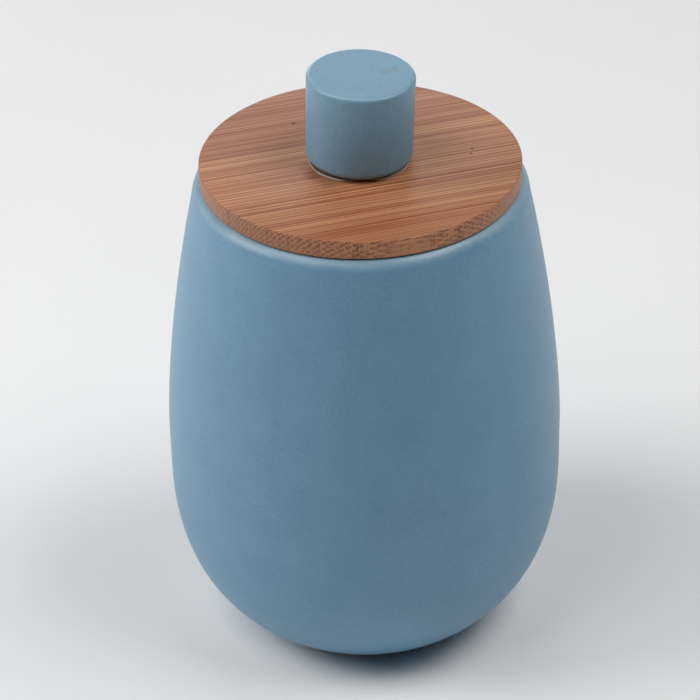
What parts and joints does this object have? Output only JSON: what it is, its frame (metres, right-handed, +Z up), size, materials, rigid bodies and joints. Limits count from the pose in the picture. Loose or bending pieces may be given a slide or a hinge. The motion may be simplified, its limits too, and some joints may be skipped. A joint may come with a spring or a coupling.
{
  "type": "bathroom jar",
  "caption": "Egg-shaped ceramic storage jar with a flat bamboo lid, a sealing plug under it and a short round glazed knob on top.",
  "frame": {"origin": "centre of the flat foot, where the jar stands", "axes": "+Z up along the jar's axis of revolution, towards the knob; -Y towards the picture's viewer"},
  "size_m": [0.1, 0.1, 0.154],
  "materials": {
    "blue_glaze": "satin coloured glaze",
    "bamboo": "carbonised bamboo, oiled",
    "silicone": "translucent silicone",
    "clear_glue": "clear set glue"
  },
  "bodies": {
    "jar": {"jar_body": "blue_glaze"},
    "lid": {"lid_disc": "bamboo", "lid_plug": "bamboo", "seal_ring": "silicone", "knob": "blue_glaze", "knob_glue": "clear_glue"}
  },
  "joints": [
    {"name": "lid_lift", "type": "slide", "parent": "jar", "child": "lid", "axis": [0, 0, 1], "range_m": [0, 0.1]}
  ]
}
